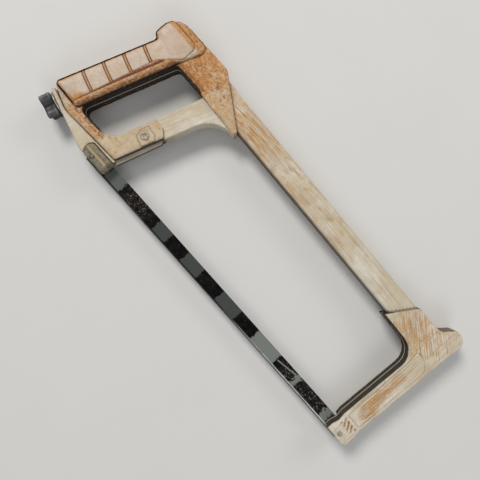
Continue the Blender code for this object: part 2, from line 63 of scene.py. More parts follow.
# Lengths below are millimetres in the saw's own frame: x, y from the rear blade pin's axis,
# z from the saw's mid-plane.
ORIGIN = np.array((*middle("rear_blade_pin")[:2], middle("handle_core").z))


def place_of(node):
    """The middle of a CAD node's box."""
    return (np.array(middle(node)) - ORIGIN) / MM


def span_of(node, axis=2):
    """Where a CAD node's box begins and ends along an axis."""
    low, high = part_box(node)
    return (low[axis] - ORIGIN[axis]) / MM, (high[axis] - ORIGIN[axis]) / MM


UP = (0.0, 0.0, 1.0)
SIDES = {"right": 1.0, "left": -1.0}         # the right side faces up
PIN_SPACING = place_of("front_blade_pin")[0]
PIVOT = (*place_of("pivot_bush")[:2], 0.0)
KNOB = place_of("tension_knob")

# Outlines in the saw's plane
HAND_HOLE = [(-36.0, 18.3), (-0.5, 18.5), (24.8, 100.2), (-8.7, 100.2)]
GRIP_EDGE = [(-63.8, 17.9), (-36.5, 17.0), (-8.6, 101.0), (1.6, 127.3), (-32.0, 127.4),
             (-39.6, 118.0), (-39.5, 104.2), (-34.5, 101.6)]
HORN_EDGE = GRIP_EDGE[2:4]                   # where the grip's side steps down to the cover
PIVOT_PAD = [(12.3, 37.4), (21.3, 34.8), (25.0, 46.5), (21.5, 49.3), (12.4, 50.2), (10.6, 43.4)]
BOW_RECESS = [(292.6, 5.6), (306.0, 5.0), (307.6, 12.9), (292.2, 13.4)]
TUBE_EDGE = ((20.6, 128.1), (71.4, 95.3))    # where the covers end over the tube
BOW_MITRE = ((267.3, 116.0), (251.0, 90.9))  # where the bow ends over the tube


# Fields over points ------------

def ramp(low, high, value):
    """A smooth rise from 0 at low to 1 at high, where low may be the larger."""
    share = np.clip((value - low) / (high - low), 0.0, 1.0)
    return share * share * (3.0 - 2.0 * share)


def hashed(i, j, k, seed):
    """A number from 0 to 1 for each cell of a grid, as if drawn at random."""
    mixed = (i * 73856093) ^ (j * 19349663) ^ (k * 83492791) ^ (seed * 2654435761)
    mixed = ((mixed ^ (mixed >> 13)) * 1274126177) & 0xFFFFFFFF
    return ((mixed ^ (mixed >> 16)) & 0xFFFF) / 65535.0


def noise(points, size, seed):
    """Smooth noise from 0 to 1 whose features are that many mm across, one size or three."""
    place = points / np.array(size)
    base = np.floor(place).astype(np.int64)
    share = ramp(0.0, 1.0, place - base)
    total = np.zeros(len(points))
    for corner in range(8):
        step = np.array([corner & 1, corner >> 1 & 1, corner >> 2 & 1])
        weight = np.where(step, share, 1.0 - share).prod(axis=1)
        total += weight * hashed(*(base + step).T, seed)
    return total


def uneven(points, normals, by, size, seed):
    """Moves along the normals that make a surface uneven, by that many mm in all."""
    return normals * (by * (noise(points, size, seed) - 0.5))[:, None]


def from_line(points, start, end):
    """Distance in the saw's plane to the line piece between two points."""
    start, along = np.array(start), np.array(end) - np.array(start)
    offset = points[:, :2] - start
    share = np.clip(offset @ along / (along @ along), 0.0, 1.0)
    return np.linalg.norm(offset - share[:, None] * along, axis=1)


def inside(points, corners):
    """Distance in the saw's plane to a closed outline, positive inside it."""
    nearest = np.full(len(points), np.inf)
    within = np.zeros(len(points), bool)
    x, y = points[:, 0], points[:, 1]
    for (x0, y0), (x1, y1) in zip(corners, corners[1:] + corners[:1]):
        nearest = np.minimum(nearest, from_line(points, (x0, y0), (x1, y1)))
        if y0 != y1:
            within ^= ((y0 > y) != (y1 > y)) & (x < x0 + (y - y0) * (x1 - x0) / (y1 - y0))
    return np.where(within, nearest, -nearest)


def blob(points, centre, radii):
    """1 at a centre in the saw's plane, falling smoothly to 0 at those radii."""
    reach = np.hypot((points[:, 0] - centre[0]) / radii[0], (points[:, 1] - centre[1]) / radii[1])
    return ramp(1.0, 0.0, reach)


def walls(normals):
    """1 on the walls between the saw's two faces, 0 on the faces."""
    return ramp(0.8, 0.3, abs(normals[:, 2]))


# Meshes ------------

def new_object(name, data):
    made = bpy.data.objects.new(name, data)
    bpy.context.scene.collection.objects.link(made)
    return made


def read(mesh, key):
    flat = np.empty(len(mesh.vertices) * 3)
    mesh.vertices.foreach_get(key, flat)
    return flat.reshape(-1, 3)


def points_of(mesh):
    return (read(mesh, "co") - ORIGIN) / MM


def place_points(mesh, points, node):
    """Moves the mesh's vertices, no further than the CAD node's own box."""
    low, high = (np.array(corner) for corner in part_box(node))
    placed = np.clip(points * MM + ORIGIN, low, high)
    mesh.vertices.foreach_set("co", placed.ravel())
    mesh.update()


def convexity(mesh, points, normals):
    """How far each vertex stands out from its neighbours, in mm."""
    ends = np.empty(len(mesh.edges) * 2, np.int32)
    mesh.edges.foreach_get("vertices", ends)
    ends = ends.reshape(-1, 2)
    total = np.zeros((len(points), 3))
    count = np.zeros(len(points))
    for a, b in ((0, 1), (1, 0)):
        np.add.at(total, ends[:, a], points[ends[:, b]])
        np.add.at(count, ends[:, a], 1)
    return ((points - total / np.maximum(count, 1)[:, None]) * normals).sum(axis=1)


def refined(node, voxel, rounds):
    """A dense closed copy of a CAD node's mesh with softened edges, its points and normals."""
    work = new_object("work", NODES[node].data.copy())
    weld = work.modifiers.new("weld", "WELD")
    weld.merge_threshold = 0.002 * MM
    remesh = work.modifiers.new("remesh", "REMESH")
    remesh.mode = "VOXEL"
    remesh.voxel_size = voxel * MM
    soften = work.modifiers.new("soften", "SMOOTH")
    soften.factor = 0.5
    soften.iterations = rounds
    bpy.context.view_layer.update()
    graph = bpy.context.evaluated_depsgraph_get()
    mesh = bpy.data.meshes.new_from_object(work.evaluated_get(graph))
    bpy.data.objects.remove(work, do_unlink=True)
    return mesh, points_of(mesh), read(mesh, "normal")


def stand_for(node, mesh, material, points=None, **fields):
    """Shows the mesh in place of the CAD node, on its body and with the given material.

    Its vertices move to the points, if there are any, and carry the fields, from 0 to 1.
    """
    if points is not None:
        place_points(mesh, points, node)
    for name, values in fields.items():
        values = np.clip(np.broadcast_to(values, len(mesh.vertices)), 0.0, 1.0)
        data = mesh.attributes.new(name, "FLOAT", "POINT").data
        data.foreach_set("value", values.astype(np.float32))
    mesh.materials.clear()
    mesh.materials.append(material)
    piece = new_object(f"{node}_detail", mesh)
    piece.data.name = piece.name
    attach(piece, BODY_OF[node])
    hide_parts(node)


def loft(rings, ring_closed, cut_angle=35.0):
    """A mesh through rings of points, each with as many points, with flat ends or joined up."""
    count, size = len(rings), len(rings[0])
    points = np.array(rings, float).reshape(-1, 3)
    faces = []
    for r in range(count if ring_closed else count - 1):
        near, far = r * size, (r + 1) % count * size
        for k in range(size):
            after = (k + 1) % size
            faces.append((near + k, near + after, far + after, far + k))
    if not ring_closed:
        faces.append(tuple(reversed(range(size))))
        faces.append(tuple((count - 1) * size + k for k in range(size)))
    mesh = bpy.data.meshes.new("loft")
    mesh.from_pydata((points * MM + ORIGIN).tolist(), [], faces)
    volume = 0.0
    mesh.calc_loop_triangles()
    for triangle in mesh.loop_triangles:
        a, b, c = (Vector(points[i]) for i in triangle.vertices)
        volume += a.dot(b.cross(c))
    if volume < 0:
        mesh.flip_normals()
    mesh.shade_smooth()
    mesh.set_sharp_from_angle(angle=math.radians(cut_angle))
    return mesh


def axes(direction):
    """Two unit vectors across a direction, and the direction itself."""
    direction = np.array(direction, float) / np.linalg.norm(direction)
    first = np.array((0.0, 0.0, 1.0)) if abs(direction[2]) < 0.9 else np.array((1.0, 0.0, 0.0))
    first = first - (first @ direction) * direction
    first /= np.linalg.norm(first)
    return first, np.cross(direction, first), direction


RING_POINTS = 48


def turns(count):
    return np.arange(count) * 2 * math.pi / count


def ring(centre, direction, along, radius, count):
    """Points round an axis; the radius is one number or one for each point."""
    first, second, direction = axes(direction)
    turn = turns(count)
    radius = np.broadcast_to(radius, count)
    return (np.array(centre) + along * direction + np.outer(radius * np.cos(turn), first)
            + np.outer(radius * np.sin(turn), second))


def turned(centre, direction, profile, count=RING_POINTS, closed=False, cut_angle=35.0):
    """A lathe shape from (distance along the axis, radius) pairs."""
    rings = [ring(centre, direction, along, radius, count) for along, radius in profile]
    return loft(rings, closed, cut_angle)


def hexagon(across):
    """A hexagon as radii round its centre, by its distance across flats."""
    return across / 2 / np.cos(np.mod(turns(RING_POINTS), math.pi / 3) - math.pi / 6)


def arc(centre, radius, start, sweep, steps):
    """Points along an arc in a plane, from the angle where it starts."""
    angles = [start + sweep * k / steps for k in range(steps + 1)]
    return [(centre[0] + radius * math.cos(angle), centre[1] + radius * math.sin(angle))
            for angle in angles]


# Materials ------------

class Look:
    """A material's nodes, in short calls. A string stands for the mesh's field of that name."""

    def __init__(self, name):
        self.material = bpy.data.materials.new(name)
        self.material.use_nodes = True
        self.tree = self.material.node_tree
        self.shader = self.tree.nodes["Principled BSDF"]
        here = self.add("TexCoord").outputs["Object"]
        moved = self.add("VectorMath", here, tuple(ORIGIN), operation="SUBTRACT").outputs[0]
        scaled = self.add("VectorMath", moved, operation="SCALE")
        scaled.inputs["Scale"].default_value = 1 / MM
        self.place = scaled.outputs[0]
        self.colour = None
        self.height = None

    def add(self, kind, *inputs, **settings):
        node = self.tree.nodes.new("ShaderNode" + kind)
        for key, value in settings.items():
            setattr(node, key, value)
        for socket, value in zip(node.inputs, inputs):
            self.put(socket, value)
        return node

    def put(self, socket, value):
        if isinstance(value, str):
            value = self.add("Attribute", attribute_name=value).outputs["Fac"]
        if isinstance(value, bpy.types.NodeSocket):
            self.tree.links.new(value, socket)
        elif value is not None:
            socket.default_value = value

    def math(self, operation, a, b=None, clamp=False):
        return self.add("Math", a, b, operation=operation, use_clamp=clamp).outputs[0]

    def noise(self, size, detail=3.0, rough=0.55, bend=0.0, where=None, shift=0.0):
        where = where or self.place
        if shift:
            where = self.add("VectorMath", where, (shift, shift, shift), operation="ADD").outputs[0]
        node = self.add("TexNoise")
        for key, value in (("Vector", where), ("Scale", 1.0 / size), ("Detail", detail),
                           ("Roughness", rough), ("Distortion", bend)):
            self.put(node.inputs[key], value)
        return node.outputs[0]

    def grain(self, length, width, turn, shift=0.0, detail=2.0, rough=0.6):
        """Noise drawn out along a line in the saw's plane, turned from +x in degrees."""
        rotated = self.add("VectorRotate", rotation_type="Z_AXIS")
        self.put(rotated.inputs["Vector"], self.place)
        rotated.inputs["Angle"].default_value = -math.radians(turn)
        squeezed = self.add("VectorMath", rotated.outputs[0],
                            (1 / length, 1 / width, 1 / width), operation="MULTIPLY").outputs[0]
        return self.noise(1.0, detail, rough, where=squeezed, shift=shift)

    def strong(self, *args, **kwargs):
        """Noise drawn out to the whole of 0 to 1."""
        return self.step(self.noise(*args, **kwargs), 0.34, 0.66)

    def strong_grain(self, *args):
        """Grain drawn out to the whole of 0 to 1."""
        return self.step(self.grain(*args), 0.34, 0.66)

    def pits(self, size):
        """Distance to the nearest of scattered points, as a share of their spacing."""
        node = self.add("TexVoronoi")
        self.put(node.inputs["Vector"], self.place)
        node.inputs["Scale"].default_value = 1.0 / size
        return node.outputs["Distance"]

    def step(self, value, low, high):
        node = self.add("MapRange", value, low, high, interpolation_type="SMOOTHSTEP", clamp=True)
        return node.outputs[0]

    def between(self, value, low, high, soft):
        """1 between two values, with a ramp that reaches that far to each side of both."""
        return self.times(self.step(value, low - soft, low + soft),
                          self.step(value, high + soft, high - soft))

    def mix(self, share, a, b):
        node = self.add("Mix", data_type="RGBA")
        self.put(node.inputs[0], share)
        for socket, value in ((node.inputs[6], a), (node.inputs[7], b)):
            self.put(socket, (*value, 1.0) if isinstance(value, tuple) else value)
        return node.outputs[2]

    def times(self, *values):
        return reduce(lambda a, b: self.math("MULTIPLY", a, b), values)

    def plus(self, *values):
        return reduce(lambda a, b: self.math("ADD", a, b), values)

    def total(self, *pairs):
        """The sum of values, each times its weight."""
        return self.plus(*(self.times(value, weight) for value, weight in pairs))

    def over(self, low, high, *pairs):
        """From 0 to 1 as the weighted sum goes from low to high."""
        return self.step(self.total(*pairs), low, high)

    def level(self, share, low, high):
        """A number that goes from low to high with the share."""
        return self.plus(self.times(share, high - low), low)

    def coat(self, paint, *shares):
        """Lays a paint over the colour so far, as far as the product of the shares says."""
        self.colour = self.mix(self.times(*shares), self.colour, paint)

    def paint_inward_shade(self):
        """Paints shade, near black, on inward walls, and a pale painted highlight where two halves meet."""
        z = self.add("SeparateXYZ", self.place).outputs[2]
        away = self.step(self.math("ABSOLUTE", z), 0.45, 0.85)
        painted_shade = self.times("shade", self.level(self.noise(4.0, 4.0), 0.9, 1.0))
        self.coat(INWARD_SHADE_BLACK, painted_shade)
        # a pale line along the parting, painted as the highlight on its edge
        self.coat((0.52, 0.46, 0.36), self.math("SUBTRACT", 1.0, away),
                  self.step(painted_shade, 0.86, 0.89))

    def raised(self, *pairs):
        """The surface's height: the sum of values, each times its height in mm."""
        self.height = self.total(*pairs)

    def finish(self, roughness, metallic=0.0, **constants):
        self.put(self.shader.inputs["Base Color"], self.colour)
        self.put(self.shader.inputs["Roughness"], roughness)
        self.put(self.shader.inputs["Metallic"], metallic)
        for key, value in constants.items():
            self.shader.inputs[key.replace("_", " ")].default_value = value
        bump = self.add("Bump")
        bump.inputs["Distance"].default_value = MM
        self.put(bump.inputs["Height"], self.height)
        self.put(self.shader.inputs["Normal"], bump.outputs[0])
        return self.material


CREAM_LIGHT = (0.735, 0.695, 0.595)
CREAM_DEEP = (0.61, 0.53, 0.395)
# brown for dirt and for painted shade
GRIME_AND_SHADE = (0.17, 0.13, 0.08)
# near-black painted shade for the walls that face inward
INWARD_SHADE_BLACK = (0.016, 0.012, 0.009)
TAN = (0.52, 0.29, 0.12)
ORANGE = (0.44, 0.175, 0.045)
BROWN = (0.20, 0.078, 0.027)
DARK_BROWN = (0.070, 0.024, 0.010)


def cream_paint(name, turn, slant=None):
    """Brushed cream paint with orange-brown scratches along a direction, rust, grime and painted shade."""
    look = Look(name)
    slant = turn if slant is None else slant
    broad = look.noise(34.0, 2.0)
    look.colour = look.mix(look.step(broad, 0.35, 0.68), CREAM_DEEP, CREAM_LIGHT)
    look.coat((0.47, 0.36, 0.23), look.strong(5.0, 4.0, 0.6), 0.28)
    brushed = look.strong_grain(30.0, 0.55, turn)
    look.coat((0.40, 0.295, 0.17), brushed, 0.30)
    hair = look.step(look.grain(46.0, 0.42, turn, 57.0), 0.57, 0.68)
    look.coat((0.26, 0.155, 0.075), hair, 0.70)
    wide = look.strong_grain(17.0, 1.25, slant, 7.0, 3.0, 0.65)
    narrow = look.strong_grain(22.0, 0.5, slant + 3.0, 31.0, 2.0, 0.6)
    patchy = look.level(look.strong(6.0, 4.0, 0.6, shift=13.0), 0.65, 1.0)
    wide = look.step(look.times(wide, look.level("scratch", 0.34, 1.4), patchy), 0.40, 0.82)
    narrow = look.step(look.times(narrow, look.level("scratch", 0.46, 1.5), patchy), 0.46, 0.76)
    look.coat((0.62, 0.365, 0.135), wide, 0.85)
    look.coat((0.36, 0.18, 0.065), narrow, 0.75)
    rust = look.over(0.66, 0.98, (look.strong(2.6, 6.0, 0.65, bend=0.6), 0.6), ("rust", 0.75))
    look.coat(look.mix(look.strong(1.4, 4.0), ORANGE, TAN), rust, 0.9)
    # wear, and painted shade on walls, laid as one darker brown
    worn = look.over(0.60, 0.98, (look.strong(1.8, 4.0, 0.6, shift=3.0), 0.5), ("worn", 0.8))
    look.coat((0.28, 0.15, 0.07), worn, 0.8)
    # dirt, and painted shade on walls and where parts meet
    look.coat(GRIME_AND_SHADE, look.over(0.50, 1.15, (look.strong(2.2, 5.0, 0.6), 0.35), ("dirt", 0.95)))
    look.coat(BROWN, look.step(look.pits(1.6), 0.17, 0.10), look.step(look.noise(7.0), 0.5, 0.6),
              0.6)
    # dark lines at joints and grooves, with painted shadow where one part steps down onto another
    look.coat((0.13, 0.105, 0.065), "seam", 0.9)
    look.paint_inward_shade()
    look.raised((look.noise(0.9, 3.0), 0.03), (brushed, 0.018),
                (look.plus(wide, narrow, hair), -0.03), (rust, -0.04))
    dull = look.plus(rust, look.times(broad, 0.3), "shade")
    return look.finish(look.level(dull, 0.46, 0.74), Specular_IOR_Level=0.2)


def rusty_paint():
    """Cream paint that rust has broken up, from specks to solid brown, with painted shade on its inward walls."""
    look = Look("rusted_paint")
    coarse = look.strong(5.2, 7.0, 0.68, 1.1)
    fine = look.strong(1.9, 5.0, 0.7, 0.5, shift=11.0)
    streak = look.strong_grain(15.0, 1.9, 4.0, 5.0, 4.0, 0.7)
    mottle = look.total((coarse, 0.34), (fine, 0.36), (streak, 0.30))
    spread = look.plus(mottle, look.times("rust", 0.62))
    look.colour = look.mix(look.strong(16.0), (0.49, 0.37, 0.225), (0.575, 0.485, 0.345))
    look.coat((0.50, 0.33, 0.185), look.strong(2.8, 4.0, shift=29.0), 0.45)
    pale = look.mix(look.strong(3.4, 5.0, 0.65, 0.4), (0.50, 0.36, 0.25), (0.61, 0.515, 0.42))
    look.coat(pale, "pale")
    tan = look.step(spread, 0.66, 0.86)
    look.coat(look.mix(fine, (0.55, 0.335, 0.165), TAN), tan, 0.85)
    orange = look.step(spread, 0.88, 1.10)
    look.coat(look.mix(look.strong(1.1, 4.0, shift=19.0), ORANGE, (0.50, 0.25, 0.09)), orange)
    brown = look.over(0.68, 0.92, (fine, 0.30), (look.strong(2.9, 5.0, 0.7, shift=37.0), 0.45),
                      ("brown", 0.55), ("rust", 0.14))
    look.coat(look.mix(streak, BROWN, (0.31, 0.125, 0.04)), brown, 0.85)
    red = look.mix(fine, (0.125, 0.024, 0.009), (0.22, 0.055, 0.016))
    look.coat(red, look.over(0.45, 0.95, (fine, 0.25), ("red", 0.95)))
    dark = look.mix(coarse, DARK_BROWN, (0.15, 0.055, 0.02))
    look.coat(dark, look.over(0.66, 1.15, (mottle, 0.6), ("dark", 0.85)))
    chips = look.step(look.noise(0.95, 3.0, 0.6, shift=23.0), 0.56, 0.66)
    look.coat((0.62, 0.46, 0.28), chips, look.step("rust", 0.2, 0.6), 0.45)
    # dark lines at joints and grooves, with painted shadow where one part steps down onto another
    look.coat((0.15, 0.115, 0.07), "seam", 0.85)
    look.paint_inward_shade()
    look.raised((fine, 0.07), (coarse, 0.07), (look.noise(0.45, 3.0), 0.05), (tan, 0.05))
    roughness = look.level(look.total((tan, 0.5), (orange, 0.5)), 0.44, 0.80)
    return look.finish(roughness, Specular_IOR_Level=0.3)


def worn_rubber():
    """A pale pinkish pad, darker brown at its edges and in its grooves."""
    look = Look("pad_rubber")
    cloudy = look.noise(9.0, 4.0, 0.6, 0.3)
    look.colour = look.mix(look.step(cloudy, 0.38, 0.66), (0.545, 0.415, 0.305),
                           (0.605, 0.53, 0.445))
    drawn = look.grain(22.0, 1.2, -17.0, 2.0, 3.0, 0.65)
    look.coat((0.50, 0.30, 0.17), look.step(drawn, 0.50, 0.72), look.level("streak", 0.25, 0.85))
    look.coat((0.49, 0.34, 0.23), look.strong(2.2, 6.0, 0.68), 0.55)
    stain = look.over(0.62, 1.02, (look.noise(2.4, 5.0, 0.65, 0.5), 0.6), ("rust", 0.90))
    look.coat(look.mix(look.strong(1.3, 5.0, 0.65), ORANGE, TAN), stain)
    dark = look.over(0.50, 1.05, (look.noise(1.0, 4.0), 0.35), ("dark", 1.0))
    look.coat((0.150, 0.048, 0.018), dark)
    look.raised((look.noise(0.55, 3.0, 0.6), 0.045), (cloudy, 0.10), (drawn, 0.05))
    return look.finish(look.level(cloudy, 0.46, 0.66), Specular_IOR_Level=0.4)


def steel(name, base=(0.34, 0.33, 0.31), stain=0.3, rough=0.34, metallic=0.9):
    """Bare metal, darker in places, with fine lines and brown tarnish."""
    look = Look(name)
    spots = look.noise(1.6, 6.0, 0.7, 0.3)
    duller = tuple(0.72 * part for part in base)
    look.colour = look.mix(look.step(look.noise(5.0), 0.35, 0.7), duller, base)
    tarnish = look.step(spots, 0.62 - 0.3 * stain, 0.82)
    look.coat((0.15, 0.085, 0.045), tarnish, min(1.0, 2.4 * stain))
    lines = look.grain(6.0, 0.18, 12.0)
    look.raised((lines, 0.012), (spots, 0.03))
    shine = look.math("SUBTRACT", metallic, look.times(tarnish, 0.7), clamp=True)
    return look.finish(look.level(look.total((tarnish, 1.0), (lines, 0.3)), rough, 0.75), shine)


def grey_casting():
    """Bare grey-green metal, with a tan band of painted highlight and edges that are rubbed and painted bright."""
    look = Look("block_casting")
    cloudy = look.noise(3.2, 5.0, 0.6)
    look.colour = look.mix(look.step(cloudy, 0.35, 0.65), (0.105, 0.088, 0.050),
                           (0.225, 0.190, 0.118))
    # the tan band along the channel is painted highlight
    look.coat((0.40, 0.31, 0.17), "tan", look.level(cloudy, 0.6, 1.0))
    lines = look.grain(12.0, 0.35, 0.0)
    look.coat((0.12, 0.085, 0.045), look.step(lines, 0.5, 0.75), 0.4)
    # rims rubbed bright, with painted highlight on them and on the block's front end
    rub_and_highlight = look.over(0.55, 0.95, ("worn", 1.0), (cloudy, 0.3))
    look.coat((0.55, 0.51, 0.42), rub_and_highlight)
    look.raised((lines, 0.03), (look.noise(0.7, 3.0), 0.04))
    return look.finish(look.level(cloudy, 0.36, 0.58), look.times(rub_and_highlight, 0.6))


def moulded_plastic():
    """Dark grey plastic with rubbed edges, a painted highlight on top, painted shade between its lobes, and some
    dust.
    """
    look = Look("knob_plastic")
    cloudy = look.noise(6.0, 4.0, 0.6)
    look.colour = look.mix(look.step(cloudy, 0.3, 0.7), (0.030, 0.030, 0.029),
                           (0.060, 0.062, 0.058))
    # rubbed rims and a painted highlight on the side that faces up
    rub_and_highlight = look.over(0.45, 1.0, ("worn", 1.0), (look.noise(1.6, 5.0), 0.35))
    look.coat((0.20, 0.20, 0.185), rub_and_highlight, 0.8)
    # painted shade, near black, between the lobes near the hub
    look.coat((0.006, 0.006, 0.006), "shade")
    dust = look.step(look.noise(1.1, 4.0, 0.6, shift=9.0), 0.62, 0.72)
    look.coat((0.24, 0.22, 0.18), dust, 0.4)
    look.raised((look.noise(0.35, 2.0), 0.03), (cloudy, 0.04))
    return look.finish(look.level(cloudy, 0.34, 0.52), Specular_IOR_Level=0.55)


def cream_rivet():
    """A head that was painted over with the saw and has rubbed through."""
    look = Look("painted_rivet")
    cloudy = look.noise(1.6, 5.0, 0.65)
    look.colour = look.mix(look.step(cloudy, 0.42, 0.62), (0.30, 0.25, 0.17), (0.50, 0.44, 0.33))
    look.raised((cloudy, 0.04))
    return look.finish(look.level(cloudy, 0.35, 0.6))


BANDS = ((15.6, 33.0), (74.0, 89.3), (109.2, 128.5), (152.4, 174.6), (196.2, 223.5),
         (244.4, 249.6), (280.6, 288.3))
PAINT_LOW = -4.3         # the paint ends above the teeth
STREAK_SPAN = (224.5, 244.5)  # of a thin pale streak, in x
STREAK_MIDDLE = (236.0, 3.0)
STREAK_SLOPE = 0.16
FLAKED_FROM = 225.0      # more paint is gone between the first two bands and from here on


def blade_paint():
    """Black blade steel with pale bands painted on, ragged at their ends and flaked between."""
    look = Look("blade_paint")
    parts = look.add("SeparateXYZ", look.place)
    x, y = parts.outputs[0], parts.outputs[1]
    rise = look.times(look.math("SUBTRACT", x, STREAK_MIDDLE[0]), STREAK_SLOPE)
    streak_y = look.plus(rise, STREAK_MIDDLE[1], look.level(look.noise(6.0), -1.2, 1.2))
    from_streak = look.math("ABSOLUTE", look.math("SUBTRACT", y, streak_y))
    pale = look.times(look.step(from_streak, 0.85, 0.45), look.between(x, *STREAK_SPAN, 1.5))
    ragged = look.level(look.noise(2.4, 5.0, 0.65, 0.4), -3.2, 3.2)
    torn = look.plus(x, look.times(ragged, look.level(look.step(x, 215.0, 240.0), 1.0, 2.0)))
    for low, high in BANDS:
        pale = look.math("MAXIMUM", pale, look.between(torn, low, high, 0.25))
    uneven_y = look.plus(y, look.level(look.noise(1.6, 4.0), -0.25, 0.25))
    pale = look.times(pale, look.step(uneven_y, PAINT_LOW - 0.1, PAINT_LOW + 0.1))
    tone = look.mix(look.step(x, 180.0, 200.0), (0.060, 0.066, 0.062), (0.185, 0.198, 0.178))
    tone = look.mix(look.step(x, 40.0, 30.0), tone, (0.115, 0.125, 0.112))
    smudge = look.times(look.step(look.noise(1.4, 5.0, 0.7), 0.56, 0.72), 0.45)
    tone = look.mix(smudge, tone, (0.045, 0.045, 0.042))

    first_gap = look.times(look.step(x, BANDS[0][1], 40.0), look.step(x, 75.0, 55.0))
    crowd = look.math("MAXIMUM", first_gap, look.step(x, FLAKED_FROM, FLAKED_FROM + 11.0))
    fleck_noise = look.noise(1.25, 6.0, 0.68, 0.5, shift=17.0)
    flecks = look.times(look.over(0.655, 0.70, (fleck_noise, 1.0), (crowd, 0.075)),
                        look.level(look.noise(0.7, 3.0), 0.45, 1.1), 0.8)
    scuffs = look.times(look.step(look.grain(5.0, 1.0, 15.0, 3.0, 5.0, 0.7), 0.60, 0.72),
                        look.step(crowd, 0.2, 0.8), 0.55)
    bare = look.times(look.math("MAXIMUM", flecks, scuffs), look.level(pale, 1.0, 0.25))

    look.colour = look.mix(look.step(look.noise(4.0, 4.0), 0.4, 0.7), (0.0030, 0.0028, 0.0028),
                           (0.0095, 0.0080, 0.0075))
    brownish = look.step(look.noise(3.0, 5.0, 0.65, shift=41.0), 0.42, 0.7)
    look.coat((0.030, 0.020, 0.017), crowd, brownish, 0.8)
    look.coat(tone, pale)
    look.coat((0.36, 0.345, 0.32), bare)
    look.coat((0.62, 0.61, 0.58), look.between(y, PAINT_LOW - 0.8, PAINT_LOW + 0.2, 0.15),
              look.level(look.noise(9.0, 3.0), 0.1, 1.3), look.step(x, 150.0, 246.0))
    teeth = look.mix(look.noise(1.5, 4.0), (0.035, 0.033, 0.032), (0.095, 0.088, 0.08))
    look.coat(teeth, look.step(y, PAINT_LOW - 0.7, PAINT_LOW - 1.0))
    look.raised((pale, 0.05), (fleck_noise, 0.03), (bare, -0.03))
    roughness = look.level(look.total((pale, 0.6), (bare, -0.3)), 0.50, 0.68)
    return look.finish(roughness, look.times(bare, 0.3), Specular_IOR_Level=0.05)


def floor_look():
    look = Look("floor")
    look.colour = look.mix(look.noise(60.0, 4.0), (0.66, 0.65, 0.63), (0.69, 0.68, 0.66))
    look.raised((look.noise(0.8, 3.0), 0.05))
    return look.finish(0.85)


# Handle ------------

GRIP_AXIS = np.array((0.34, 0.9405))  # up the grip; the finger grooves lie across it
GROOVE_TOP = 72.9                     # distance along that direction
GROOVE_PITCH = 17.6
GROOVE_APART = 2.1                    # between the two lines that make up a groove
GROOVE_DEPTH = 0.55
PAD_SWELL = 0.3                       # the pad fills its pocket's width
PAD_HOLE_SIDE = ((-43.2, 13.0), (-21.5, 90.0))
CROWN_DROP = 2.2                      # how far the grip's shoulders fall below its crown
CROWN_REACH = 9.5                     # and how far in from its outline they begin to
HORN_STEP = 2.0                       # the same at its front end, towards the cover
ARM_LOW, ARM_HIGH = 94.0, 101.0       # where the grip turns into the upper arm


def crowned(points, sign):
    """How far the grip's side falls away towards the grip's outline and its front end."""
    depth = inside(points, GRIP_EDGE)
    share = 1.0 - np.clip(depth / CROWN_REACH, 0.0, 1.0)
    over = ramp(10.6, 12.5, sign * points[:, 2])
    drop = np.where(depth > -1.0, CROWN_DROP * share ** 2.6, 0.0)
    start, end = np.array(HORN_EDGE)
    along = (end - start) / np.linalg.norm(end - start)
    behind = (start[0] - points[:, 0]) * along[1] - (start[1] - points[:, 1]) * along[0]
    step_down = HORN_STEP * ramp(14.0, -0.5, behind) * ramp(97.0, 112.0, points[:, 1])
    return over * np.maximum(drop, step_down)


def grooves_and_ribs(points):
    """How near each point is to a groove's lines, and to the rib between them, from 0 to 1."""
    along = points[:, :2] @ GRIP_AXIS
    across = points[:, 0] * GRIP_AXIS[1] - points[:, 1] * GRIP_AXIS[0]
    groove, rib = np.zeros(len(points)), np.zeros(len(points))
    for k in range(4):
        away = along - (GROOVE_TOP - k * GROOVE_PITCH + 0.5 * np.sin((across + 50.0) / 7.0))
        for line in (-GROOVE_APART / 2, GROOVE_APART / 2):
            groove = np.maximum(groove, ramp(0.85, 0.0, abs(away - line)))
        rib = np.maximum(rib, ramp(1.3, 0.5, abs(away)))
    return groove, rib


def outer_face(points, sign):
    """1 on a cover's outer side, 0 on its inner side."""
    return ramp(6.0, 8.0, sign * points[:, 2])


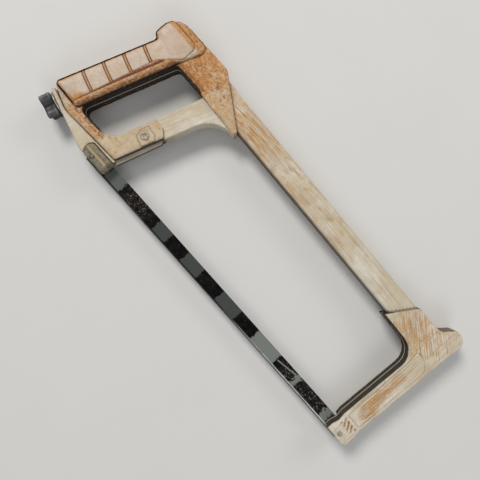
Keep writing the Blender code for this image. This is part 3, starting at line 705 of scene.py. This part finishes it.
def cover_fields(points, normals, sign):
    """Where a cover is rusted, brown, red, dark or pale, and where shade is painted on it."""
    x, y, z = points.T
    from_hole, in_grip = -inside(points, HAND_HOLE), inside(points, GRIP_EDGE)
    wall = ramp(0.75, 0.25, sign * normals[:, 2])
    arm = ramp(ARM_LOW, ARM_HIGH, y)
    torn_x = x + 18.0 * (noise(points, 9.0, 31) - 0.5) + 9.0 * (noise(points, 4.0, 33) - 0.5)
    heavy = arm * (1.0 - 0.72 * ramp(12.0, 44.0, torn_x)
                   - 0.2 * ramp(45.0, 65.0, torn_x))
    band = ramp(10.5, 6.0, from_hole) * ramp(14.0, 4.0, x - 0.31 * (y - 60.0))
    strut = ramp(-20.0, -5.0, x) * ramp(60.0, 52.0, y)
    pale = (ramp(0.0, 2.0, in_grip) * outer_face(points, sign)
            * ramp(99.0, 103.0, y) * ramp(122.5, 117.0, y))
    butt = ramp(-8.0, -24.0, x) * ramp(22.0, 16.0, y)

    rust = np.clip(0.22 + 0.70 * heavy + 0.50 * blob(points, (-29.0, 12.5), (22.0, 9.0))
                   + 0.50 * band + 0.25 * wall * (0.4 + 0.6 * arm) - 0.13 * strut
                   + 0.2 * ramp(-30.0, -50.0, x), 0, 1)
    rust = np.maximum(rust, 0.50 * blob(points, (34.0, 108.0), (34.0, 24.0)))
    brown = np.clip(0.75 * band * ramp(4.2, 2.4, from_hole) + 0.30 * heavy
                    + 0.45 * wall * ramp(40.0, 0.0, x) * (0.3 + 0.7 * arm)
                    + 0.30 * blob(points, (30.0, 112.0), (16.0, 12.0)), 0, 1)
    beside_hole = (band * ramp(4.7, 5.8, from_hole) * ramp(9.8, 8.4, from_hole)
                   * ramp(98.0, 93.0, y) * ramp(16.0, 21.0, y))
    beside_pad = (0.7 * ramp(1.8, 0.4, abs(in_grip)) * ramp(-28.0, -34.0, x)
                  * ramp(8.0, 11.0, abs(z)))
    # a painted shadow along the step where the cover ends over the tube
    tube_step_shadow = ramp(1.6, 0.2, from_line(points, *TUBE_EDGE))
    dark = np.clip(0.55 * band * ramp(2.8, 1.2, from_hole)
                   + 0.45 * tube_step_shadow * ramp(75.0, 40.0, x)
                   + 0.40 * wall * ramp(14.0, -6.0, x), 0, 1)
    # painted shade on the walls round the hand hole and on those that face into the frame
    in_hole = wall * ramp(3.5, 1.5, from_hole)
    in_frame = (wall * ramp(0.2, 0.6, normals[:, 0]) * ramp(4.0, 10.0, x)
                * ramp(70.0, 60.0, y))
    return {"rust": rust * (1.0 - 0.85 * pale) * (1.0 - 0.35 * butt),
            "brown": brown * (1.0 - 0.8 * pale), "red": np.maximum(beside_hole, beside_pad),
            "dark": dark * (1.0 - 0.8 * pale), "pale": pale + 0.8 * butt,
            "shade": in_hole + in_frame}


def handle_cover(side, material):
    """A cover pitted by its rust, with the grip's crown and a line round the pivot's pad."""
    node, sign = f"handle_cover_{side}", SIDES[side]
    mesh, points, normals = refined(node, 0.7, 3)
    fields = cover_fields(points, normals, sign)
    outer = outer_face(points, sign)
    pitting = noise(points, 2.2, 3) - 0.5 + 0.8 * (noise(points, 1.1, 5) - 0.5)
    lift = outer * (0.16 * fields["rust"] + 0.30 * fields["brown"] + 0.06) * pitting
    points += normals * lift[:, None]
    points[:, 2] -= sign * crowned(points, sign)
    pad_line = ramp(0.8, 0.1, abs(inside(points, PIVOT_PAD))) * outer
    flat = ramp(0.5, 0.9, sign * normals[:, 2])
    points[:, 2] -= sign * flat * (0.5 * fields["red"] + 0.35 * pad_line)
    stand_for(node, mesh, material, points, seam=0.6 * pad_line, **fields)


def grip_pad(side, material):
    node, sign = f"grip_pad_{side}", SIDES[side]
    mesh, points, normals = refined(node, 0.45, 2)
    groove, rib = grooves_and_ribs(points) * ramp(0.2, 0.7, sign * normals[:, 2])
    rim = ramp(0.02, 0.10, convexity(mesh, points, normals))
    swell = PAD_SWELL * normals * ramp(0.9, 0.5, abs(normals[:, 2]))[:, None]
    points[:, :2] += swell[:, :2]
    points[:, 2] -= sign * (GROOVE_DEPTH * groove + crowned(points, sign))
    points += uneven(points, normals, 0.10, 6.0, 2) + uneven(points, normals, 0.05, 1.4, 8)
    x, y, z = points.T
    low_half = ramp(38.0, 22.0, y)
    depth = inside(points, GRIP_EDGE)
    from_hole_side = from_line(points, *PAD_HOLE_SIDE)
    dark = (1.15 * groove + 0.9 * rim * ramp(3.5, 1.0, from_hole_side)
            + 0.55 * ramp(2.4, 0.4, depth) * ramp(18.5, 23.0, y))
    rust = (0.80 * ramp(4.2, 0.8, depth) + 0.95 * ramp(114.5, 120.0, y)
            + 0.40 * low_half * ramp(-56.0, -38.0, x) + 0.28 * low_half
            - 0.35 * ramp(24.0, 18.0, y) + 0.30 * ramp(5.0, 1.0, from_hole_side)
            + 0.70 * rib)
    stand_for(node, mesh, material, points, dark=dark, rust=rust, streak=0.15 + 0.85 * low_half)


def handle_core(material):
    mesh, points, normals = refined("handle_core", 0.75, 2)
    wall = walls(normals)
    points += uneven(points, normals, 0.10, 3.0, 4)
    y = points[:, 1]
    # darker on its walls, below y 60 and above y 92, as dirt together with painted shade
    stand_for("handle_core", mesh, material, points, scratch=0.10, worn=0.3 * wall,
              rust=0.10 + 0.25 * wall * ramp(70.0, 100.0, y),
              dirt=0.25 * wall + 0.3 * ramp(62.0, 58.0, y) + 0.25 * ramp(92.0, 98.0, y))


# Tube and bow ------------

TUBE_HALF_HEIGHT = 10.9
TUBE_HALF_WIDTH = 7.0
TUBE_CORNER = 4.0
TUBE_WALL = 1.5
TUBE_MESH_STEP = 1.2     # across the flats, so that the fields on them are fine
TUBE_SPAN = (8.0, 281.0)
TUBE_RINGS = 180
TUBE_MID = (100.0, 109.9)
TUBE_SLOPE = math.radians(-2.08)


def tube_ring(x, grow):
    """Points round the tube's section at x, across the tube's slope."""
    inner_h, inner_w = TUBE_HALF_HEIGHT - TUBE_CORNER, TUBE_HALF_WIDTH - TUBE_CORNER
    flat = []
    for quarter, (h, w) in enumerate(((1, 1), (-1, 1), (-1, -1), (1, -1))):
        flat += arc((h * inner_h, w * inner_w), TUBE_CORNER + grow, math.pi / 2 * quarter,
                    math.pi / 2, 8)
    dense = []
    for here, there in zip(flat, flat[1:] + flat[:1]):
        count = max(1, round(math.dist(here, there) / TUBE_MESH_STEP))
        dense += [np.array(here) + (np.array(there) - here) * k / count for k in range(count)]
    flat = np.array(dense)
    mid_y = TUBE_MID[1] + (x - TUBE_MID[0]) * math.tan(TUBE_SLOPE)
    up = np.array((-math.sin(TUBE_SLOPE), math.cos(TUBE_SLOPE), 0.0))
    return np.array((x, mid_y, 0.0)) + np.outer(flat[:, 0], up) + np.outer(flat[:, 1], UP)


def frame_tube(material):
    spots = np.linspace(*TUBE_SPAN, TUBE_RINGS)
    rings = [tube_ring(x, 0.0) for x in spots] + [tube_ring(x, -TUBE_WALL) for x in spots[::-1]]
    mesh = loft(rings, ring_closed=True)
    points = points_of(mesh)
    x = points[:, 0]
    outer = np.repeat((1.0, 0.0), len(points) // 2)
    ripple = 0.06 * (noise(points, (24.0, 5.0, 5.0), 6) - 0.5) * outer
    points[:, 2] += ripple * np.sign(points[:, 2])
    place_points(mesh, points, "frame_tube")
    stand_for("frame_tube", mesh, material,
              scratch=0.16 + 0.42 * ramp(120.0, 64.0, x) + 0.24 * ramp(230.0, 130.0, x),
              rust=0.05 + 0.42 * blob(points, (66.0, 108.0), (34.0, 9.0)),
              # dark lines where the bow and covers end over the tube: painted shadow of their steps
              seam=(ramp(1.3, 0.5, from_line(points, *BOW_MITRE))
                    + 0.8 * ramp(1.5, 0.5, from_line(points, *TUBE_EDGE))),
              # painted shade on the tube's underside
              shade=0.80 * ramp(0.55, 0.85, -read(mesh, "normal")[:, 1]) * outer)


RECESS_RIB_PITCH = 3.0
RECESS_RIB_HEIGHT = 0.75


def front_bow(material):
    """The cast bow: scratched at its corner, with a ribbed recess in its foot."""
    mesh, points, normals = refined("front_bow", 0.7, 2)
    x, y, z = points.T
    wall = walls(normals)
    floor = ramp(0.4, 1.2, inside(points, BOW_RECESS)) * (z > 6.0)
    ribs = 0.5 + 0.5 * np.sin((0.80 * x + 0.60 * y) * 2 * math.pi / RECESS_RIB_PITCH)
    edge = ramp(0.02, 0.09, convexity(mesh, points, normals))
    points[:, 2] += RECESS_RIB_HEIGHT * floor * (ribs - 0.35)
    points += uneven(points, normals, 0.08, 2.6, 12)
    corner = (0.9 * blob(points, (281.0, 100.0), (32.0, 24.0))
              + 0.5 * blob(points, (299.0, 116.0), (16.0, 14.0)))
    # painted shade on the walls facing into the frame and on the horn's flank
    inward = (ramp(0.35, 0.7, np.maximum(-normals[:, 0], -normals[:, 1]))
              * ramp(300.0, 297.0, x) * ramp(99.0, 97.0, y)
              * ramp(-6.0, -3.0, y))
    flank = 0.75 * ramp(0.3, 0.7, -normals[:, 0]) * ramp(112.0, 116.0, y)
    front_edge = (ramp(309.0, 312.0, x) * ramp(8.0, 20.0, y)
                  * ramp(50.0, 26.0, y))
    rust = (0.08 + 0.28 * corner + 0.95 * floor * (1.0 - ribs) + 0.35 * front_edge
            + 0.25 * wall)
    stand_for("front_bow", mesh, material, points, scratch=0.24 + 0.80 * corner, rust=rust,
              shade=np.maximum(inward, flank),
              seam=0.8 * ramp(1.1, 0.4, from_line(points, *BOW_MITRE)),
              # rims, walls and recess troughs darker: wear and dirt together with painted shade
              worn=0.45 * edge + 0.2 * wall + 0.9 * floor * ramp(0.45, 0.1, ribs),
              dirt=0.70 * floor * ramp(0.3, 0.0, ribs))


def bow_pad(side, material):
    node = f"bow_pad_{side}"
    mesh, points, normals = refined(node, 0.4, 2)
    edge = ramp(0.01, 0.06, convexity(mesh, points, normals))
    points += uneven(points, normals, 0.10, (5.0, 14.0, 9.0), 9)
    smear = (1.3 * blob(points, (298.5, 46.0), (8.5, 36.0))
             + 0.9 * blob(points, (302.5, 30.0), (5.5, 14.0)))
    stand_for(node, mesh, material, points, scratch=0.16 + 0.95 * smear, rust=0.40 * smear,
              worn=0.30 * edge, dirt=0.20 * edge)


# Tension mechanism ------------

def tension_lever(material):
    mesh, points, normals = refined("tension_lever", 0.55, 2)
    wall = walls(normals)
    edge = ramp(0.02, 0.08, convexity(mesh, points, normals))
    points += uneven(points, normals, 0.08, 2.4, 15)
    # painted shade on the walls facing into the frame; the walls are also darker, dirt with painted shade
    inward = wall * ramp(0.2, 0.6, normals[:, 0]) * ramp(8.0, 14.0, points[:, 0])
    stand_for("tension_lever", mesh, material, points, scratch=0.08, rust=0.06 + 0.10 * wall,
              worn=0.25 * edge, dirt=0.22 * wall, shade=0.85 * inward)


BLOCK_CHANNEL = (3.1, 1.7, 12.8)      # the channel's middle and half width in y, and its end in x


def rear_block(material):
    """The lever's block: a channel along its face, which falls away above and in front of it."""
    mesh, points, normals = refined("rear_blade_block", 0.3, 2)
    x, y, z = points.T
    mid_y, half_width, end_x = BLOCK_CHANNEL
    top = ramp(6.0, 8.0, z)
    rim = ramp(0.01, 0.05, convexity(mesh, points, normals))
    along = ramp(end_x, end_x - 0.8, x)
    band = ramp(1.4, 2.2, y) * ramp(4.8, 4.2, y) * along
    hollow = np.sqrt(np.clip(1.0 - ((y - mid_y) / half_width) ** 2, 0.0, 1.0)) * along
    points[:, 2] -= top * (0.8 * hollow + 0.30 * np.clip(y - 4.9, 0.0, None)
                           + 0.45 * np.clip(x - 12.7, 0.0, None))
    points += uneven(points, normals, 0.08, 1.8, 20)
    # tan: painted highlight along the channel; rim and front end lighter, partly rubbed, partly painted highlight
    stand_for("rear_blade_block", mesh, material, points, tan=band * top,
              worn=0.8 * rim + 0.5 * ramp(14.6, 15.2, x))


def blade_pin(node, material):
    low, high = span_of(node)
    profile = [(low, 0.35), (low + 0.05, 0.9), (low + 0.5, 1.55), (low + 0.9, 1.75),
               (high - 0.35, 1.8), (high - 0.12, 1.72), (high, 1.45), (high, 0.6),
               (high - 0.18, 0.4), (high - 0.22, 0.1)]
    stand_for(node, turned((*place_of(node)[:2], 0.0), UP, profile), material)


def pivot_rivet(material):
    low, high = span_of("pivot_rivet")
    profile = [(low, 0.4), (low, 2.6), (low + 0.12, 3.1), (low + 0.5, 3.5), (low + 0.85, 3.45),
               (low + 0.95, 2.5), (high - 0.95, 2.5), (high - 0.92, 3.42), (high - 0.55, 3.5),
               (high - 0.18, 3.28), (high, 2.75), (high - 0.05, 2.1), (high - 0.35, 1.7),
               (high - 1.0, 1.45), (high - 1.25, 0.9), (high - 1.3, 0.2)]
    stand_for("pivot_rivet", turned(PIVOT, UP, profile, 64), material)


def pivot_washer(material):
    low, high = span_of("pivot_washer")
    profile = [(low, 3.0), (low, 4.55), (low + 0.12, 4.75), (high - 0.12, 4.8), (high, 4.6),
               (high, 2.8), (low + 0.1, 2.8)]
    stand_for("pivot_washer", turned(PIVOT, UP, profile, 64, closed=True), material)


SCREW_SOCKET = 2.5       # across flats
SCREW_HALF_PITCH = 0.2


def cover_screw(index, material):
    """A screw with a hexagon socket, its thread as rings."""
    node = f"cover_screw_{index}"
    low, high = span_of(node)
    centre = (*place_of(node)[:2], 0.0)
    socket = hexagon(SCREW_SOCKET)
    head = [(low + 1.35, socket * 0.2), (low + 1.35, socket * 0.96), (low + 0.15, socket),
            (low + 0.05, socket * 1.1), (low, 2.0), (low + 0.1, 2.75), (low + 0.5, 3.15),
            (low + 1.0, 3.25), (low + 2.25, 3.25), (low + 2.4, 3.1), (low + 2.4, 1.75)]
    thread = [(low + 2.5 + SCREW_HALF_PITCH * k, 1.76 if k % 2 else 1.5)
              for k in range(int((high - low - 3.3) / SCREW_HALF_PITCH))]
    tip = [(high - 0.4, 1.4), (high, 0.9), (high, 0.2)]
    stand_for(node, turned(centre, UP, head + thread + tip), material)


STUD_LEAN = np.array((0.27, 0.963, 0.0)) / math.hypot(0.27, 0.963)
STUD_SPAN = (-4.0, 42.0)  # along the stud from the knob's middle
STUD_RADIUS = 2.98
THREAD_PITCH = 1.0
THREAD_DEPTH = 0.48


def tension_stud(material):
    """A threaded stud: each ring's radius follows the thread round it."""
    low, high = STUD_SPAN
    count = 40
    turn = np.arange(count) / count
    profile = [(low, 0.3), (low, 2.1)]
    for along in np.arange(low + 0.15, high - 0.15, 0.125):
        phase = np.mod(along / THREAD_PITCH - turn, 1.0)
        lead = min(1.0, (along - low) / 0.9, (high - along) / 0.9)
        depth = THREAD_DEPTH * np.abs(2.0 * phase - 1.0) + 0.6 * (1.0 - lead)
        profile.append((along, STUD_RADIUS - depth))
    profile += [(high, 2.1), (high, 0.3)]
    stand_for("tension_stud", turned(KNOB, STUD_LEAN, profile, count, cut_angle=60.0), material)


KNOB_HALF = 5.0
KNOB_BORE = 3.3
KNOB_VALLEY = 7.5        # radius between the lobes
KNOB_LOBE = 12.9         # radius at a lobe's end
KNOB_LOBES = 4
FIRST_LOBE = math.radians(35.0)
KNOB_POINTS = 128


def lobed(inset, floor=0.0):
    """The knob's outline as radii round its axis, moved in by the inset."""
    wave = 0.5 + 0.5 * np.cos(KNOB_LOBES * (turns(KNOB_POINTS) - FIRST_LOBE))
    return np.maximum(KNOB_VALLEY + (KNOB_LOBE - KNOB_VALLEY) * wave ** 1.5 - inset, floor)


def tension_knob(material):
    """Four rounded lobes round a hub, with the stud's end in a dished face."""
    half, bore = KNOB_HALF, KNOB_BORE
    quarter = [math.pi / 2 * k / 6 for k in range(7)]
    # along the stud, from the face towards the grip to the outer one and back down the bore
    profile = [(-half + 0.1, 5.9), (-half + 0.1, 6.5), (-half + 0.2, lobed(2.6, 6.6)),
               (-half + 0.3, lobed(1.6, 6.7))]
    profile += [(-half + 1.65 - 1.4 * math.cos(angle), lobed(1.4 * (1 - math.sin(angle))))
                for angle in quarter]
    profile += [(-half + 1.6 + (2 * half - 3.2) * share, lobed(0.22 * math.sin(math.pi * share)))
                for share in np.linspace(0.15, 0.85, 8)]
    profile += [(half - 1.65 + 1.5 * math.sin(angle), lobed(1.5 * (1 - math.cos(angle))))
                for angle in quarter]
    profile += [(half - 0.1, lobed(2.4, 6.3)), (half - 0.15, 6.0), (half, 5.4), (half, 4.6),
                (half - 0.9, 4.1), (half - 1.0, bore + 0.05), (half - 1.3, bore), (0.4, bore),
                (0.35, 5.9)]
    mesh = turned(KNOB, -STUD_LEAN, profile, KNOB_POINTS, closed=True, cut_angle=50.0)
    points, normals = points_of(mesh), read(mesh, "normal")
    out = points - KNOB
    along = out @ STUD_LEAN
    reach = np.linalg.norm(out - np.outer(along, STUD_LEAN), axis=1)
    rim = ramp(0.02, 0.14, convexity(mesh, points, normals))
    # rims rubbed, the side facing up painted lighter as highlight, and shade painted between the lobes near the
    # hub
    stand_for("tension_knob", mesh, material, worn=0.85 * rim + 0.4 * ramp(6.0, 10.0, points[:, 2]),
              shade=0.95 * ramp(10.9, 9.2, reach) * (abs(along) < 4.6))


def knob_insert(material):
    """A brass hexagon pressed into the knob's inner face, with a short collar."""
    outer, bore = hexagon(10.4), KNOB_BORE
    profile = [(-4.8, bore + 0.3), (-4.8, outer * 0.93), (-4.6, outer * 0.99), (-4.3, outer),
               (-0.4, outer), (-0.05, outer * 0.97), (-0.05, bore + 0.2), (-0.3, bore),
               (-4.5, bore)]
    stand_for("knob_insert", turned(KNOB, -STUD_LEAN, profile, closed=True), material)


def thrust_washer(material):
    profile = [(5.3, 3.4), (5.3, 9.6), (5.42, 9.9), (5.6, 10.0), (6.3, 10.0), (6.45, 9.85),
               (6.5, 9.6), (6.5, 3.4), (6.3, 3.3), (5.5, 3.3)]
    stand_for("thrust_washer", turned(KNOB, STUD_LEAN, profile, 72, closed=True), material)


# Blade ------------

BLADE_HALF = 6.35
BLADE_CORNER = 3.0       # radius of its upper corners
BLADE_HOLE = 2.1         # radius of its hole and of its slot's ends
TEETH_FROM = 1.2         # from each end
TOOTH_PITCH = 25.4 / 24
TOOTH_DEPTH = 0.75
TOOTH_SET = 0.16


def flat_plate(outlines, low, high):
    """Closed outlines in the saw's plane, filled but for the ones inside, with a thickness."""
    curve = bpy.data.curves.new("plate", "CURVE")
    curve.dimensions = "2D"
    curve.fill_mode = "BOTH"
    curve.extrude = (high - low) / 2 * MM
    for outline in outlines:
        spline = curve.splines.new("POLY")
        spline.points.add(len(outline) - 1)
        spline.use_cyclic_u = True
        for target, (x, y) in zip(spline.points, outline):
            target.co = (x * MM, y * MM, 0.0, 1.0)
    guide = new_object("plate", curve)
    graph = bpy.context.evaluated_depsgraph_get()
    mesh = bpy.data.meshes.new_from_object(guide.evaluated_get(graph))
    bpy.data.objects.remove(guide, do_unlink=True)
    mesh.transform(Matrix.Translation(ORIGIN + np.array(UP) * (low + high) / 2 * MM))
    return mesh


def blade_outline(low_x, high_x):
    """Down the rear end, along the teeth, up the front end and back over the top."""
    outline = [(low_x, BLADE_HALF - BLADE_CORNER), (low_x, -BLADE_HALF + 1.6)]
    x = low_x + TEETH_FROM
    while x < high_x - TEETH_FROM - TOOTH_PITCH:
        outline += [(x, -BLADE_HALF), (x + 0.22, -BLADE_HALF + TOOTH_DEPTH),
                    (x + 0.45, -BLADE_HALF + TOOTH_DEPTH)]
        x += TOOTH_PITCH
    outline += [(high_x - 0.4, -BLADE_HALF + 0.6), (high_x, -BLADE_HALF + 1.6)]
    top = BLADE_HALF - BLADE_CORNER
    outline += arc((high_x - BLADE_CORNER, top), BLADE_CORNER, 0.0, math.pi / 2, 8)
    return outline + arc((low_x + BLADE_CORNER, top), BLADE_CORNER, math.pi / 2, math.pi / 2, 8)


def blade_slot():
    """The slot in which the rear pin moves as the lever swings."""
    swing = next(joint["range_deg"][1] for joint in frame["joints"]
                 if joint["name"] == "lever_pivot")
    far = np.array((PIVOT[1], -PIVOT[0])) * math.radians(swing)
    start = math.atan2(far[1], far[0]) + math.pi / 2
    return (arc((0.0, 0.0), BLADE_HOLE, start, math.pi, 12)
            + arc(far, BLADE_HOLE, start + math.pi, math.pi, 12))


def blade(material):
    low_x, high_x = span_of("blade", 0)
    hole = arc((PIN_SPACING, 0.0), BLADE_HOLE, 0.0, 2 * math.pi, 32)[:-1]
    mesh = flat_plate([blade_outline(low_x, high_x), blade_slot(), hole], *span_of("blade"))
    points = points_of(mesh)
    tips = points[:, 1] < -BLADE_HALF + 0.05
    which = np.round((points[:, 0] - low_x - TEETH_FROM) / TOOTH_PITCH).astype(int)
    points[tips, 2] += TOOTH_SET * np.where(which[tips] % 2, 1.0, -1.0)
    mesh.vertices.foreach_set("co", (points * MM + ORIGIN).ravel())
    mesh.update()
    mesh.shade_flat()
    stand_for("blade", mesh, material)


# Scene ------------

CAMERA_PLACE = (129.65, 44.2, 427.8)
CAMERA_TURN = 48.21      # degrees
LENS, SENSOR = 39.0, 36.0
FLOOR_HALF = 4.0         # metres


def camera():
    """Straight above the saw, turned so that the saw lies across the picture."""
    data = bpy.data.cameras.new("camera")
    data.lens = LENS
    data.sensor_width = SENSOR
    data.clip_start, data.clip_end = 0.01, 20.0
    made = new_object("camera", data)
    made.location = ORIGIN + np.array(CAMERA_PLACE) * MM
    made.rotation_euler = (0.0, 0.0, math.radians(CAMERA_TURN))
    bpy.context.scene.camera = made


def area_light(name, place, size, power, colour):
    data = bpy.data.lights.new(name, "AREA")
    data.shape = "DISK"
    data.size = size
    data.energy = power
    data.color = colour
    made = new_object(name, data)
    made.location = place
    made.rotation_euler = (-Vector(place)).to_track_quat("-Z", "Y").to_euler()


def studio():
    bpy.context.scene.view_settings.view_transform = "Standard"
    world = bpy.data.worlds.new("studio")
    world.use_nodes = True
    sky = world.node_tree.nodes["Background"]
    sky.inputs["Color"].default_value = (0.92, 0.96, 1.0, 1.0)
    sky.inputs["Strength"].default_value = 0.32
    bpy.context.scene.world = world
    area_light("key", (-1.6, 0.5, 2.0), 0.9, 42.0, (1.0, 0.97, 0.93))
    area_light("fill", (1.2, -0.7, 1.4), 1.0, 6.5, (0.95, 0.97, 1.0))
    area_light("back", (0.2, 1.6, 1.0), 0.7, 5.5, (1.0, 0.98, 0.95))
    mesh = bpy.data.meshes.new("floor")
    corners = [(x * FLOOR_HALF, y * FLOOR_HALF, 0) for x, y in ((-1, -1), (1, -1), (1, 1), (-1, 1))]
    mesh.from_pydata(corners, [], [(0, 1, 2, 3)])
    mesh.materials.append(floor_look())
    floor = new_object("floor", mesh)


def main():
    camera()
    studio()
    cream_tube = cream_paint("cream_tube", -2.0)
    cream_bow = cream_paint("cream_bow", 90.0, -38.0)
    cream_pad = cream_paint("cream_bow_pad", 90.0, 86.0)
    cream_cast = cream_paint("cream_casting", 70.0, 60.0)
    rusted = rusty_paint()
    rubber = worn_rubber()
    plain_steel = steel("dull_steel")
    dark_steel = steel("dark_steel", (0.20, 0.185, 0.155), 0.45, 0.42, 0.7)
    brass = steel("brass", (0.50, 0.36, 0.14), 0.25, 0.30, 0.95)
    for side in SIDES:
        handle_cover(side, rusted)
        grip_pad(side, rubber)
        bow_pad(side, cream_pad)
    handle_core(cream_cast)
    frame_tube(cream_tube)
    front_bow(cream_bow)
    tension_lever(cream_cast)
    rear_block(grey_casting())
    blade_pin("rear_blade_pin", dark_steel)
    painted_over = cream_rivet()
    blade_pin("front_blade_pin", painted_over)
    pivot_rivet(painted_over)
    pivot_washer(plain_steel)
    for index in range(1, 5):
        cover_screw(index, plain_steel)
    tension_stud(plain_steel)
    tension_knob(moulded_plastic())
    knob_insert(brass)
    thrust_washer(steel("plated_steel", (0.62, 0.61, 0.57), 0.12, 0.30, 0.85))
    blade(blade_paint())
    for node, material in (("tube_roll_pin", plain_steel), ("bow_grub_screw", dark_steel),
                           ("stud_barrel_nut", plain_steel), ("pivot_bush", brass)):
        NODES[node].data.materials.clear()
        NODES[node].data.materials.append(material)


main()
